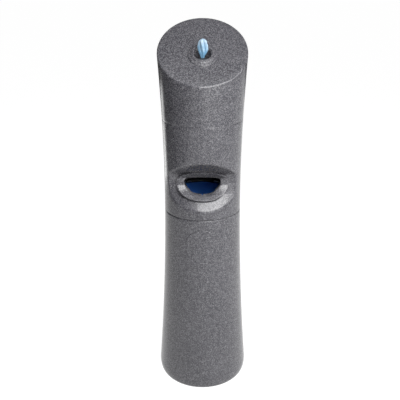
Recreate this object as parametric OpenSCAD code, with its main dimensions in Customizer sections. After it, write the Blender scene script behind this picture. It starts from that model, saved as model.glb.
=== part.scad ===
// Floor-standing tower that dispenses wipes from its slanted lid
// and takes the used ones in a mouth at its waist, with a lift-out bin.
// Millimetres. +Z is up, the front faces -Y and the origin is the centre of the base on the floor.

/* [Outside shape] */
// Height of the rubber feet under the base
foot_h = 3; // [2:0.5:5]
// Height of the lower body, from its underside to the seam at the waist
body_h = 521; // [480:1:560]
// Height of the head between its two seams
head_h = 251; // [244:1:270]
// Height of the lid at its high rear edge
lid_h = 245; // [236:1:260]
// Greatest radius, just above the foot
base_r = 129.7; // [124:0.1:138]
// Radius of the high rear edge of the lid
rim_r = 121.2; // [115:0.1:126]
// Height of the narrowest place above the seam at the waist
waist_rise = 76; // [60:1:100]
// How late the lower body starts to widen towards the floor
base_flare = 1.8; // [1.5:0.1:2.2]
// How late the head and lid start to widen towards the rim
rim_flare = 2; // [1.6:0.1:2.4]
// Slope of the lid's top, rising towards the rear, in degrees
top_slope = 32.1; // [27:0.1:35]
// Height of the rounded foot of the lower body
foot_round_h = 25; // [10:1:35]
// How far the rounded foot draws in
foot_round_in = 5; // [2:0.5:8]
// Radius of the round field on the front of the lower body
field_r = 49; // [30:1:60]
// Height of the middle of that field
field_z = 450; // [420:1:460]
// Width of the groove round the field
field_groove_w = 3; // [1:0.5:5]
// Depth of the groove round the field
field_groove_d = 0.8; // [0.3:0.1:1.5]

/* [Moulded shells] */
// Wall of the moulded shells
wall = 4; // [3:0.5:4.5]
// Chamfer on both sides of a seam
seam_chamfer = 2; // [1:0.5:3]
// Height of the spigot that guides the head
spigot_h = 17; // [10:1:22]
// Height of the neck that guides the lid
neck_h = 34; // [32:1:38]
// Gap around the spigot and the neck
seat_gap = 0.5; // [0.3:0.1:1]

/* [Mouth] */
// Height of the crease between the niche's back and its chin above the waist seam
crease_rise = 85; // [82:1:92]
// Depth of the niche, from the outside of the waist to its upright back
niche_d = 49.8; // [46:0.1:53]
// Height of the upright back of the niche
niche_back_h = 29; // [26:1:32]
// Slope of the niche's ceiling, in degrees
ceiling_slope = 39.4; // [34:0.1:42]
// Slope of the niche's chin, in degrees
chin_slope = 50.2; // [46:0.1:53]
// Half the width of the mouth collar
collar_half_w = 70; // [64:1:76]
// Height of the collar above the middle of the mouth's width
collar_up = 27; // [26:0.5:28]
// Depth of the collar below that middle
collar_down = 43.4; // [40:0.1:46]
// Thickness of the collar in front of the niche
collar_t = 8; // [5:0.5:10]
// Half the width of the mouth's opening
mouth_half_w = 48; // [40:1:52]
// Height of the opening above the middle of its width
mouth_up = 10.4; // [8:0.1:14]
// Depth of the opening below that middle
mouth_down = 29; // [24:0.5:32]
// Height of that middle above the crease
mouth_mid = 9; // [6:0.5:12]
// How square the top of the opening is
mouth_up_power = 3.6; // [2:0.1:5]
// How square the bottom of the opening is
mouth_down_power = 2.1; // [2:0.1:3]
// How square the collar is
collar_power = 2.3; // [2:0.1:2.6]
// Wall of the collar's sleeve through the shell
sleeve_wall = 3; // [2:0.5:4]
// How far the sleeve stands in behind the shell
sleeve_in = 3; // [1:0.5:4]
// Distance of the collar's lower screws from the middle
chin_screw_x = 34; // [28:1:38]
// Radius of the small screws and rivets
screw_r = 1.6; // [1.2:0.1:1.8]

/* [Outlet] */
// Distance of the outlet's axis in front of the lid's axis
outlet_front = 12; // [6:1:18]
// Radius of the outlet's bore
outlet_r = 21; // [18:0.5:24]
// Radius of the foot of the outlet's collar
outlet_foot_r = 37; // [34:0.5:42]
// Radius of the top of the outlet's collar
outlet_top_r = 33; // [30:0.5:33.5]
// Height of the foot step
outlet_foot_h = 2.4; // [1.5:0.1:3]
// Height of the collar's top
outlet_top_h = 5.9; // [4:0.1:8]
// Wall of the tube under the outlet
outlet_wall = 3.5; // [2.5:0.5:5]
// Length of the tube under the slanted top, on its axis
outlet_tube_h = 31.5; // [26:0.5:36]
// Radius of the hole in the nozzle
nozzle_hole_r = 6; // [5:0.5:9]
// Depth of the dome's foot under the slanted top, on its axis
nozzle_depth = 16; // [14:0.5:19]
// Height of the nozzle's dome
nozzle_dome_h = 10; // [6:0.5:12]
// Wall of the nozzle
nozzle_wall = 1.8; // [1.2:0.1:2.5]

/* [Bin] */
// Radius of the bin's rim
bin_rim_r = 80; // [74:1:84]
// Radius of the bin's bottom
bin_foot_r = 66; // [58:1:70]
// Wall of the bin
bin_wall = 2; // [1.5:0.5:3]
// Height of the bin's turned-down rim
bin_rim_h = 10; // [6:1:14]
// Gap between the bin's rim and the shell over it
bin_top_gap = 1; // [0.5:0.5:4]
// Radius of the bail's wire
bail_wire_r = 2; // [1.5:0.25:2.5]
// Radius of the grip on the bail
grip_r = 4.2; // [3.5:0.1:5]
// Arc of the grip, in degrees
grip_arc = 50; // [30:5:70]
// Thickness of the bail's ears
ear_t = 4; // [3:0.5:5]

/* [Ballast and feet] */
// Gap between the ballast and the spigot that it goes in through
ballast_gap = 4; // [2:0.5:10]
// Thickness of the ballast
ballast_t = 28; // [16:1:34]
// Radius of the circle of ballast bolts
bolt_circle_r = 60; // [40:1:70]
// Radius of a ballast bolt's shank
bolt_r = 4; // [3:0.5:5]
// Radius of the circle of feet
feet_circle_r = 104; // [100:1:107]
// Radius of a foot
feet_r = 13; // [8:1:14]

/* [Tub and cradle] */
// Radius of the wipes tub
tub_r = 79; // [72:0.5:86]
// Room between the tub and the outside of the waist
tub_room = 24.8; // [23.5:0.1:28]
// Height of the wipes tub
tub_h = 176; // [150:1:178]
// Wall of the wipes tub
tub_wall = 1.5; // [1.2:0.1:2.5]
// Height of the tub's cap
cap_h = 18; // [14:1:19]
// Wall of the cap
cap_wall = 1.6; // [1.2:0.1:2.5]
// Radius of the hole that the cap's nozzle fills
cap_hole_r = 14; // [10:1:18]
// Radius of the roll's core
roll_core_r = 22; // [15:1:30]
// Height of the roll
roll_h = 150; // [100:1:150]
// Depth of the cradle under the neck's top
cradle_depth = 119; // [110:1:120]
// Wall of the cradle
cradle_wall = 3; // [2:0.5:3.5]
// Gap around the tub in its cradle
cradle_gap = 2; // [1:0.5:2.5]
// Radius of the push-out hole in the cradle's floor
cradle_hole_r = 25; // [15:1:35]

/* [Lock] */
// Height of the lock's axis above the lid's seam
lock_rise = 17; // [16.5:0.5:18]
// Radius of the lock's pad on the lid
lock_pad_r = 13.5; // [13:0.5:14]
// How far the pad stands out of the lid
lock_pad_out = 1.2; // [0.5:0.1:2]
// How far the pad stands in behind the lid's wall
lock_pad_in = 1.8; // [1:0.1:2]
// Radius of the lock's barrel
barrel_r = 9.5; // [8:0.25:9.5]
// Length of the barrel behind the pad
barrel_behind = 9.8; // [9:0.1:10]
// Radius of the turning plug
plug_r = 6; // [4:0.25:6.5]
// Length of the cam from the lock's axis to its tip
cam_reach = 24; // [22:0.5:26]
// Width of the cam
cam_w = 12; // [9:0.5:12]
// Thickness of the cam
cam_t = 2.5; // [2:0.25:2.5]
// Half the width of the gap in the neck for the lock
lock_gap_half_w = 16; // [15:0.5:18]
// Thickness of the catch
catch_t = 2; // [1.5:0.25:2.25]

/* [Wipe] */
// Height of the wipe's tip above its neck
wipe_h = 46; // [30:1:60]
// Half the width of the wipe where it is widest
wipe_half_w = 14; // [8:0.5:16]
// Half the thickness of the wipe there
wipe_half_t = 6; // [4:0.5:7]
// How far the wipe hangs below its neck
wipe_below = 38; // [20:1:40]

/* [Hidden] */
$fn = 96;
far = 400;
skin_step = 24;
run_gap = 0.05;
hole_gap = 0.1;
soft_gap = 0.3;
lead = 1.5;

granite = [0.42, 0.42, 0.44];
bin_blue = [0.02, 0.16, 0.42];
steel = [0.72, 0.73, 0.75];
black = [0.09, 0.09, 0.10];
tub_white = [0.92, 0.93, 0.94];
wipe_blue = [0.68, 0.84, 0.93];

// Least radius of the outside, a little above the seam at the waist
waist_r = tub_r + tub_room;

// Heights of the seams and of the outside shape
foot_top_z = foot_h + foot_round_h;
floor_z = foot_h + wall;
body_seam_z = foot_h + body_h;
lid_seam_z = body_seam_z + head_h;
top_z = lid_seam_z + lid_h;
waist_z = body_seam_z + waist_rise;
spigot_z = body_seam_z + spigot_h;
neck_z = lid_seam_z + neck_h;
spigot_r = skin_r(body_seam_z) - wall - seat_gap;
neck_r = skin_r(lid_seam_z) - wall - seat_gap;
ballast_r = spigot_r - wall - ballast_gap;

// Places in the mouth
niche_back = waist_r - niche_d;
crease_z = body_seam_z + crease_rise;
mouth_z = crease_z + mouth_mid;
bin_rim_z = chin_z(-bin_rim_r, wall) - bin_top_gap;

// Places of the bin and its bail
ballast_top_z = floor_z + ballast_t;
bin_foot_z = ballast_top_z;
bail_r = bin_rim_r - bail_wire_r - 1;
bail_z = bin_rim_z + grip_r + soft_gap;
ear_in = bin_rim_r + soft_gap;

// Places of the tub and its cradle
flange_t = 3;
cradle_in_r = tub_r + cradle_gap;
cradle_out_r = cradle_in_r + cradle_wall;
cradle_floor_z = neck_z - cradle_depth;
tub_z = cradle_floor_z;
tub_top_z = tub_z + tub_h;
cap_top_z = tub_top_z + cap_wall + soft_gap;
cap_nozzle_h = 11;

// Places of the outlet
rim_z = top_z - tan(top_slope) * rim_r;
outlet_z = rim_z - tan(top_slope) * outlet_front;
outlet_tube_r = outlet_r + outlet_wall;
outlet_tube_z = outlet_z - outlet_tube_h;
nozzle_flange_t = 3;
nozzle_edge_z = outlet_z - nozzle_depth;
nozzle_top_z = nozzle_edge_z + nozzle_dome_h;

// Places of the lock, whose axis runs along Y at the rear
lock_z = lid_seam_z + lock_rise;
pad_out_y = skin_r(lock_z) + lock_pad_out;
pad_in_y = skin_r(lock_z) - wall - lock_pad_in;
barrel_in_y = pad_in_y - barrel_behind;
flange_out_y = pad_out_y + 2;
nut_t = 4;
cam_y = barrel_in_y - 0.3 - cam_t;
plug_tail_r = 3.5;
catch_out_r = neck_r - wall;
catch_lip_z = lock_z + cam_w / 2 + 0.6;
catch_start = 10;
catch_end = 21;
rivet_start = 5;

// Radius of the outside shape at height z
function skin_r(z) = z < waist_z
    ? waist_r + (base_r - waist_r) * pow((waist_z - z) / (waist_z - foot_top_z), base_flare)
    : waist_r + (rim_r - waist_r) * pow((z - waist_z) / (top_z - waist_z), rim_flare);

// Points along the outside shape between two heights, drawn in by inset
function skin(z0, z1, inset = 0) =
    let (n = max(1, ceil(abs(z1 - z0) / skin_step)))
    [for (i = [0:n]) let (z = z0 + (z1 - z0) * i / n) [skin_r(z) - inset, z]];

// Height of the chin and of the niche's ceiling at y, with the surface set back by depth
function chin_z(y, depth) = crease_z - tan(chin_slope) * (-niche_back - y) - depth / cos(chin_slope);
function ceiling_z(y, depth) =
    crease_z + niche_back_h + tan(ceiling_slope) * (-niche_back - y) + depth / cos(ceiling_slope);

// Section of the niche in the plane of symmetry, with its faces set back by depth
function niche_section(depth) = let (back = -niche_back + depth)
    [[back, ceiling_z(back, depth)], [back, chin_z(back, depth)],
     [-far, chin_z(-far, depth)], [-far, ceiling_z(-far, depth)]];

// Section of the space in front of the collar
function collar_front_section() = let (front = -niche_back - collar_t)
    [[front, crease_z + far], [front, chin_z(front, -collar_t)],
     [-far, chin_z(-far, -collar_t)], [-far, crease_z + far]];

// Outline with a flat top and a round bottom, by two halves of superellipses
function sign_pow(v, e) = sign(v) * pow(abs(v), e);
function d_outline(half_w, up, down, up_power, down_power) =
    [for (a = [0:7.5:352.5])
        let (power = a < 180 ? up_power : down_power, rise = a < 180 ? up : down)
        [half_w * sign_pow(cos(a), 2 / power), rise * sign_pow(sin(a), 2 / power)]];
function mouth_outline(grow) =
    d_outline(mouth_half_w + grow, mouth_up + grow, mouth_down + grow, mouth_up_power, mouth_down_power);

// Depth of such an outline under its middle, at a distance x from its centre line
function outline_drop(x, half_w, down, power) = down * pow(1 - pow(x / half_w, power), 1 / power);

module along_x(section) {
    rotate([90, 0, 90])
        linear_extrude(height = 2 * far, center = true)
            polygon(section);
}

// A prism along Y, from the front to the axis, over an outline seen from the front
module towards_front() {
    translate([0, 0, mouth_z])
        rotate([90, 0, 0])
            linear_extrude(height = far)
                children();
}

module below_top(rise) {
    translate([0, 0, rim_z + rise])
        rotate([top_slope, 0, 0])
            translate([-far, -far, -2 * far])
                cube([2 * far, 2 * far, 2 * far]);
}

module around(count, radius, start = 0) {
    for (i = [0:count - 1])
        rotate([0, 0, start + i * 360 / count])
            translate([radius, 0, 0])
                children();
}

// Cylinder along +Y from y0 to y1 on the lock's axis
module lock_rod(r, y0, y1) {
    translate([0, y0, lock_z])
        rotate([-90, 0, 0])
            cylinder(r = r, h = y1 - y0);
}

// ---- Base -------------------------------------------------------------------------------

module field_groove() {
    layer_half_h = field_r + skin_step;
    intersection() {
        translate([0, 0, field_z])
            rotate([90, 0, 0])
                difference() {
                    cylinder(r = field_r, h = base_r);
                    translate([0, 0, -1]) cylinder(r = field_r - field_groove_w, h = base_r + 2);
                }
        rotate_extrude()
            polygon(concat(skin(field_z - layer_half_h, field_z + layer_half_h, field_groove_d),
                skin(field_z + layer_half_h, field_z - layer_half_h, -wall)));
    }
}

module lower_body() {
    shoulder_z = body_seam_z - wall;
    color(granite) difference() {
        rotate_extrude()
            polygon(concat(
                [[0, foot_h]],
                [for (a = [0:15:75])
                    [base_r - foot_round_in * (1 - sin(a)), foot_top_z - foot_round_h * cos(a)]],
                skin(foot_top_z, body_seam_z - seam_chamfer),
                [[skin_r(body_seam_z) - seam_chamfer, body_seam_z],
                 [spigot_r, body_seam_z],
                 [spigot_r, spigot_z - lead],
                 [spigot_r - lead, spigot_z],
                 [spigot_r - wall, spigot_z],
                 [spigot_r - wall, shoulder_z]],
                skin(shoulder_z - 2 * wall, foot_top_z, wall),
                [[base_r - foot_round_in - wall, floor_z], [0, floor_z]]));
        around(4, feet_circle_r, 45)
            translate([0, 0, foot_h - 1]) cylinder(r = feet_stem_r + hole_gap, h = wall + 2);
        around(3, bolt_circle_r, 90)
            translate([0, 0, foot_h - 1]) cylinder(r = bolt_r + hole_gap, h = wall + 2);
        field_groove();
    }
}

bolt_head_r = 1.7 * bolt_r;
bolt_head_h = 1.2 * bolt_r;
feet_stem_r = 4;

module ballast_weight() {
    color([0.25, 0.25, 0.26]) difference() {
        rotate_extrude()
            polygon([[0, floor_z], [ballast_r - lead, floor_z], [ballast_r, floor_z + lead],
                [ballast_r, ballast_top_z - lead], [ballast_r - lead, ballast_top_z],
                [0, ballast_top_z]]);
        around(3, bolt_circle_r, 90) {
            translate([0, 0, floor_z - 1]) cylinder(r = bolt_r + hole_gap, h = ballast_t + 2);
            translate([0, 0, ballast_top_z - bolt_head_h - 1])
                cylinder(r = bolt_head_r + 1, h = bolt_head_h + 2);
        }
    }
}

module ballast_bolts() {
    head_z = ballast_top_z - bolt_head_h - 1;
    color(steel) around(3, bolt_circle_r, 90) {
        translate([0, 0, foot_h + 0.5]) cylinder(r = bolt_r, h = head_z - foot_h - 0.5);
        translate([0, 0, head_z]) difference() {
            cylinder(r = bolt_head_r, h = bolt_head_h);
            translate([0, 0, bolt_head_h / 2]) cylinder(r = bolt_r * 0.7, h = bolt_head_h, $fn = 6);
        }
    }
}

module rubber_feet() {
    color(black) around(4, feet_circle_r, 45)
        rotate_extrude()
            polygon([[0, 0], [feet_r - 1, 0], [feet_r, 1], [feet_r, foot_h], [feet_stem_r, foot_h],
                [feet_stem_r, floor_z], [feet_stem_r + 2, floor_z],
                [feet_stem_r + 0.5, floor_z + 4], [0, floor_z + 4]]);
}

// ---- Bin --------------------------------------------------------------------------------

module waste_bin() {
    under_rim_r = bin_rim_r - 3 * bin_wall;
    ear_h = bail_z - bin_rim_z + 2.5 * bail_wire_r;
    color(bin_blue) difference() {
        union() {
            rotate_extrude()
                polygon([[0, bin_foot_z], [bin_foot_r - 3, bin_foot_z], [bin_foot_r, bin_foot_z + 4],
                    [under_rim_r, bin_rim_z - bin_wall],
                    [bin_rim_r - bin_wall, bin_rim_z - bin_wall],
                    [bin_rim_r - bin_wall, bin_rim_z - bin_rim_h],
                    [bin_rim_r, bin_rim_z - bin_rim_h],
                    [bin_rim_r, bin_rim_z],
                    [under_rim_r - bin_wall, bin_rim_z],
                    [bin_foot_r - bin_wall, bin_foot_z + 4 + bin_wall],
                    [bin_foot_r - 3 - bin_wall, bin_foot_z + bin_wall],
                    [0, bin_foot_z + bin_wall]]);
            for (side = [0, 180])
                rotate([0, 0, side])
                    translate([bin_rim_r - bin_wall / 2, 0, bail_z])
                        bail_ear();
        }
        for (side = [0, 180])
            rotate([0, 0, side])
                translate([bin_rim_r - bin_wall, 0, bail_z])
                    rotate([0, 90, 0])
                        cylinder(r = bail_wire_r + run_gap, h = 2 * bin_wall + 2 * ear_t);
    }
}

// An ear on the rim's outside, round at its top, with its inner face clear of the bail's arc
module bail_ear() {
    half_w = 2.5 * bail_wire_r;
    down = bail_z - bin_rim_z + bin_rim_h;
    out = ear_t + ear_in - bin_rim_r + bin_wall / 2;
    difference() {
        union() {
            rotate([0, 90, 0]) cylinder(r = half_w, h = out);
            translate([0, -half_w, -down]) cube([out, 2 * half_w, down]);
        }
        translate([-1, -2 * half_w, -(bail_z - bin_rim_z)])
            cube([out - ear_t + 1, 4 * half_w, bail_z - bin_rim_z + 2 * half_w]);
    }
}

module bin_bail() {
    stub_end = ear_in + ear_t + 1;
    color(steel) translate([0, 0, bail_z]) {
        rotate_extrude(angle = 180)
            translate([bail_r, 0]) circle(r = bail_wire_r, $fn = 32);
        for (side = [0, 180])
            rotate([0, 0, side])
                translate([bail_r, 0, 0]) {
                    sphere(r = bail_wire_r, $fn = 32);
                    rotate([0, 90, 0]) cylinder(r = bail_wire_r, h = stub_end - bail_r, $fn = 32);
                }
    }
}

module bail_grip() {
    color(black) translate([0, 0, bail_z])
        rotate([0, 0, 90 - grip_arc / 2])
            rotate_extrude(angle = grip_arc)
                translate([bail_r, 0])
                    difference() {
                        circle(r = grip_r, $fn = 32);
                        circle(r = bail_wire_r + run_gap, $fn = 32);
                    }
}

// ---- Head -------------------------------------------------------------------------------

module head_outside() {
    rotate_extrude()
        polygon(concat(
            [[0, body_seam_z], [skin_r(body_seam_z) - seam_chamfer, body_seam_z]],
            skin(body_seam_z + seam_chamfer, lid_seam_z - seam_chamfer),
            [[skin_r(lid_seam_z) - seam_chamfer, lid_seam_z],
             [neck_r, lid_seam_z],
             [neck_r, neck_z - lead],
             [neck_r - lead, neck_z],
             [0, neck_z]]));
}

module head_inside() {
    rotate_extrude()
        polygon(concat(
            [[0, body_seam_z - 1], [skin_r(body_seam_z) - wall, body_seam_z - 1]],
            skin(body_seam_z, lid_seam_z - 2 * wall, wall),
            [[neck_r - wall, lid_seam_z - wall], [neck_r - wall, neck_z + 1], [0, neck_z + 1]]));
}

// The collar's screws, midway between its outer edge and its sleeve: two through the niche's back
// and two through its chin
module at_collar_screws() {
    sleeve_half_w = mouth_half_w + sleeve_wall;
    sleeve_drop = outline_drop(chin_screw_x, sleeve_half_w, mouth_down + sleeve_wall, mouth_down_power);
    collar_drop = outline_drop(chin_screw_x, collar_half_w, collar_down, collar_power);
    back_screw_x = (sleeve_half_w + collar_half_w) / 2;
    chin_screw_y = -niche_back - ((sleeve_drop + collar_drop) / 2 - mouth_mid) / tan(chin_slope);
    for (side = [-1, 1]) {
        translate([side * back_screw_x, -niche_back + wall, mouth_z])
            rotate([90, 0, 0]) children();
        translate([side * chin_screw_x, chin_screw_y, chin_z(chin_screw_y, 0)])
            rotate([chin_slope - 90, 0, 0])
                translate([0, wall, 0])
                    rotate([90, 0, 0]) children();
    }
}

module head_shell() {
    color(granite) difference() {
        head_outside();
        along_x(niche_section(0));
        difference() {
            head_inside();
            along_x(niche_section(wall));
        }
        towards_front() polygon(mouth_outline(sleeve_wall + hole_gap));
        at_collar_screws() translate([0, 0, -1]) cylinder(r = screw_r + hole_gap, h = wall + 2);
        translate([-lock_gap_half_w, 0, lid_seam_z + 1])
            cube([2 * lock_gap_half_w, far, far]);
        at_catch_rivets() cylinder(r = screw_r + hole_gap, h = far);
    }
}

// Ring bent over the niche's crease, with a sleeve through the shell
module mouth_collar() {
    color(granite) difference() {
        union() {
            intersection() {
                towards_front()
                    polygon(d_outline(collar_half_w, collar_up, collar_down, collar_power, collar_power));
                difference() {
                    along_x(niche_section(0));
                    along_x(collar_front_section());
                }
            }
            intersection() {
                towards_front() polygon(mouth_outline(sleeve_wall));
                difference() {
                    along_x(niche_section(wall + sleeve_in));
                    along_x(collar_front_section());
                }
            }
        }
        towards_front() polygon(mouth_outline(0));
        at_collar_screws() cylinder(r = screw_r + hole_gap, h = wall + collar_t - 2);
    }
}

module collar_screws() {
    color(steel) at_collar_screws() {
        cylinder(r = screw_r, h = wall + collar_t - 3);
        translate([0, 0, -2]) difference() {
            cylinder(r = 2 * screw_r, h = 2);
            translate([0, 0, -1]) cylinder(r = 0.8 * screw_r, h = 2, $fn = 6);
        }
    }
}

module tub_cradle() {
    color([0.80, 0.81, 0.82]) difference() {
        rotate_extrude()
            polygon([[cradle_hole_r, cradle_floor_z - cradle_wall],
                [cradle_out_r - lead, cradle_floor_z - cradle_wall],
                [cradle_out_r, cradle_floor_z - cradle_wall + lead],
                [cradle_out_r, neck_z], [neck_r - 1, neck_z],
                [neck_r - 1, neck_z + flange_t], [cradle_in_r + 1, neck_z + flange_t],
                [cradle_in_r, neck_z + flange_t - 1], [cradle_in_r, cradle_floor_z],
                [cradle_hole_r, cradle_floor_z]]);
        translate([-lock_gap_half_w, cradle_out_r, neck_z - 1])
            cube([2 * lock_gap_half_w, far, flange_t + 2]);
    }
}

// Steel angle inside the neck, beside the lock's gap: the cam turns in under its lip
module lock_catch() {
    lip_in = 10;
    leg_h = 22;
    color(steel) difference() {
        rotate([0, 0, 90 - catch_end])
            rotate_extrude(angle = catch_end - catch_start)
                polygon([[catch_out_r, catch_lip_z + catch_t], [catch_out_r, catch_lip_z + catch_t - leg_h],
                    [catch_out_r - catch_t, catch_lip_z + catch_t - leg_h],
                    [catch_out_r - catch_t, catch_lip_z],
                    [catch_out_r - lip_in, catch_lip_z],
                    [catch_out_r - lip_in, catch_lip_z + catch_t]]);
        at_catch_rivets() cylinder(r = screw_r + hole_gap, h = far);
    }
}

module at_catch_rivets() {
    for (turn = [catch_start + 3, catch_end - 3])
        rotate([0, 0, 90 - turn])
            translate([catch_out_r - catch_t - rivet_start, 0, catch_lip_z - 12])
                rotate([0, 90, 0]) children();
}

module catch_rivets() {
    head_h = 1.2;
    seat = rivet_start - 0.1;
    end = rivet_start + catch_t + wall - 0.2;
    color(steel) at_catch_rivets()
        rotate_extrude($fn = 48)
            polygon([[0, seat - head_h], [screw_r, seat - head_h], [screw_r + 1.2, seat], [screw_r, seat],
                [screw_r, end], [0, end]]);
}

// ---- Tub --------------------------------------------------------------------------------

module wipes_tub() {
    bead = 1;
    color(tub_white) rotate_extrude()
        polygon([[0, tub_z], [tub_r - 4, tub_z], [tub_r, tub_z + 4],
            [tub_r, tub_top_z - cap_h - 2], [tub_r - cap_wall - hole_gap - bead, tub_top_z - cap_h - 1],
            [tub_r - cap_wall - hole_gap - bead, tub_top_z],
            [tub_r - cap_wall - hole_gap - bead - tub_wall, tub_top_z],
            [tub_r - cap_wall - hole_gap - bead - tub_wall, tub_top_z - cap_h - 2],
            [tub_r - tub_wall, tub_top_z - cap_h - 5],
            [tub_r - tub_wall, tub_z + 4], [tub_r - 4, tub_z + tub_wall], [0, tub_z + tub_wall]]);
}

module wipes_roll() {
    roll_z = tub_z + tub_wall + soft_gap;
    roll_r = tub_r - tub_wall - 3;
    color([0.78, 0.88, 0.94]) rotate_extrude()
        polygon([[roll_core_r, roll_z], [roll_r - 2, roll_z], [roll_r, roll_z + 2],
            [roll_r, roll_z + roll_h - 3], [roll_r - 3, roll_z + roll_h], [roll_core_r, roll_z + roll_h]]);
}

module tub_cap() {
    skirt_r = tub_r;
    skirt_z = tub_top_z - cap_h;
    color(black) rotate_extrude()
        polygon([[cap_hole_r, cap_top_z - cap_wall], [skirt_r - cap_wall, cap_top_z - cap_wall],
            [skirt_r - cap_wall, skirt_z], [skirt_r, skirt_z], [skirt_r, cap_top_z - 2],
            [skirt_r - 2, cap_top_z], [cap_hole_r, cap_top_z]]);
}

module cap_nozzle() {
    stem_r = cap_hole_r - hole_gap;
    color([0.70, 0.78, 0.85]) rotate_extrude()
        polygon([[nozzle_hole_r, cap_top_z + cap_nozzle_h], [nozzle_hole_r + cap_wall, cap_top_z + cap_nozzle_h],
            [stem_r, cap_top_z + 2], [stem_r + 3, cap_top_z + 2], [stem_r + 3, cap_top_z],
            [stem_r, cap_top_z], [stem_r, cap_top_z - cap_wall - 1],
            [stem_r - cap_wall, cap_top_z - cap_wall - 1], [stem_r - cap_wall, cap_top_z + 2]]);
}

// ---- Lid --------------------------------------------------------------------------------

module lid_shell() {
    color(granite) difference() {
        union() {
            intersection() {
                rotate_extrude()
                    polygon(concat(
                        [[0, lid_seam_z], [skin_r(lid_seam_z) - seam_chamfer, lid_seam_z]],
                        skin(lid_seam_z + seam_chamfer, top_z),
                        [[rim_r, top_z + 1], [0, top_z + 1]]));
                below_top(0);
            }
            translate([0, -outlet_front, outlet_tube_z]) intersection() {
                cylinder(r = outlet_foot_r, h = far);
                translate([0, outlet_front, -outlet_tube_z]) below_top(outlet_foot_h);
            }
            translate([0, -outlet_front, outlet_tube_z]) intersection() {
                cylinder(r = outlet_top_r, h = far);
                translate([0, outlet_front, -outlet_tube_z]) below_top(outlet_top_h);
            }
            lock_rod(lock_pad_r, pad_in_y, pad_out_y);
        }
        difference() {
            intersection() {
                rotate_extrude()
                    polygon(concat(
                        [[0, lid_seam_z - 1], [skin_r(lid_seam_z) - wall, lid_seam_z - 1]],
                        skin(lid_seam_z, top_z, wall),
                        [[0, top_z]]));
                below_top(-wall / cos(top_slope));
            }
            translate([0, -outlet_front, outlet_tube_z]) cylinder(r = outlet_tube_r, h = far);
            lock_rod(lock_pad_r, pad_in_y, pad_out_y);
        }
        translate([0, -outlet_front, 0]) cylinder(r = outlet_r, h = 2 * top_z);
        lock_rod(barrel_r + hole_gap, pad_in_y - 1, far);
    }
}

// Domed nozzle that stands in the outlet's tube on its flange
module outlet_nozzle() {
    stem_r = outlet_r - hole_gap;
    flange_r = outlet_tube_r - 0.5;
    flange_z = outlet_tube_z - nozzle_flange_t;
    hole_edge_r = nozzle_hole_r;
    dome = function (r) nozzle_edge_z + nozzle_dome_h * sqrt(1 - pow(r / (stem_r + 0.5), 2));
    dome_steps = 6;
    dome_points = [for (i = [0:dome_steps])
        let (r = stem_r + (hole_edge_r - stem_r) * i / dome_steps) r];
    color(black) translate([0, -outlet_front, 0]) rotate_extrude()
        polygon(concat(
            [[stem_r - nozzle_wall, flange_z], [flange_r, flange_z], [flange_r, outlet_tube_z],
             [stem_r, outlet_tube_z]],
            [for (r = dome_points) [r, dome(r)]],
            [for (i = [dome_steps:-1:0])
                let (r = max(dome_points[i] - nozzle_wall, hole_edge_r))
                [r, dome(r + nozzle_wall) - nozzle_wall]]));
}

// Union ring that clamps the nozzle's flange to the tube
module nozzle_ring() {
    ring_in_r = outlet_tube_r + hole_gap;
    ring_out_r = ring_in_r + 3;
    lip_z = outlet_tube_z - nozzle_flange_t;
    ring_top_z = rim_z - tan(top_slope) * (outlet_front + ring_out_r) - wall / cos(top_slope) - 1;
    grips = 18;
    grip_groove_r = 2.2;
    color(black) translate([0, -outlet_front, 0]) difference() {
        rotate_extrude()
            polygon([[outlet_r, lip_z - 2], [ring_out_r - 1, lip_z - 2], [ring_out_r, lip_z - 1],
                [ring_out_r, ring_top_z], [ring_in_r, ring_top_z], [ring_in_r, lip_z],
                [outlet_r, lip_z]]);
        around(grips, ring_out_r + grip_groove_r - 0.8)
            translate([0, 0, lip_z - 3]) cylinder(r = grip_groove_r, h = far, $fn = 24);
    }
}

module lock_barrel() {
    color(steel) difference() {
        union() {
            lock_rod(barrel_r, barrel_in_y, flange_out_y - 1);
            lock_rod(barrel_r + 2, pad_out_y, flange_out_y);
        }
        lock_rod(plug_r + run_gap, barrel_in_y - 1, far);
    }
}

module lock_nut() {
    nut_y = pad_in_y - nut_t - run_gap;
    color(steel) difference() {
        translate([0, nut_y, lock_z])
            rotate([-90, 0, 0]) cylinder(r = barrel_r + 3.2, h = nut_t, $fn = 6);
        lock_rod(barrel_r + hole_gap, nut_y - 1, pad_in_y + 1);
    }
}

module key_plug() {
    key_w = 1.6;
    color(steel) difference() {
        union() {
            lock_rod(plug_r, barrel_in_y - 0.3, flange_out_y + 0.6);
            lock_rod(plug_tail_r, cam_y - 0.2, barrel_in_y);
        }
        translate([-key_w / 2, flange_out_y - 5, lock_z - plug_r * 0.6])
            cube([key_w, 10, plug_r * 1.2]);
        lock_rod(screw_r + hole_gap, cam_y - 1, cam_y + 8);
    }
}

module lock_cam() {
    color(steel) difference() {
        union() {
            lock_rod(cam_w / 2, cam_y, cam_y + cam_t);
            translate([-cam_w / 2, cam_y, lock_z - cam_reach + 2])
                cube([cam_w, cam_t, cam_reach - 2]);
            translate([-cam_w / 2 + 2, cam_y, lock_z - cam_reach])
                cube([cam_w - 4, cam_t, 3]);
        }
        lock_rod(plug_tail_r + run_gap, cam_y - 1, cam_y + cam_t + 1);
    }
}

module cam_screw() {
    color(steel) difference() {
        union() {
            lock_rod(screw_r, cam_y - 0.5, cam_y + 6);
            lock_rod(plug_tail_r + 1, cam_y - 1.9, cam_y - 0.3);
        }
        translate([-plug_tail_r, cam_y - 2.9, lock_z - 0.4]) cube([2 * plug_tail_r, 1.6, 0.8]);
    }
}

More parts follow.
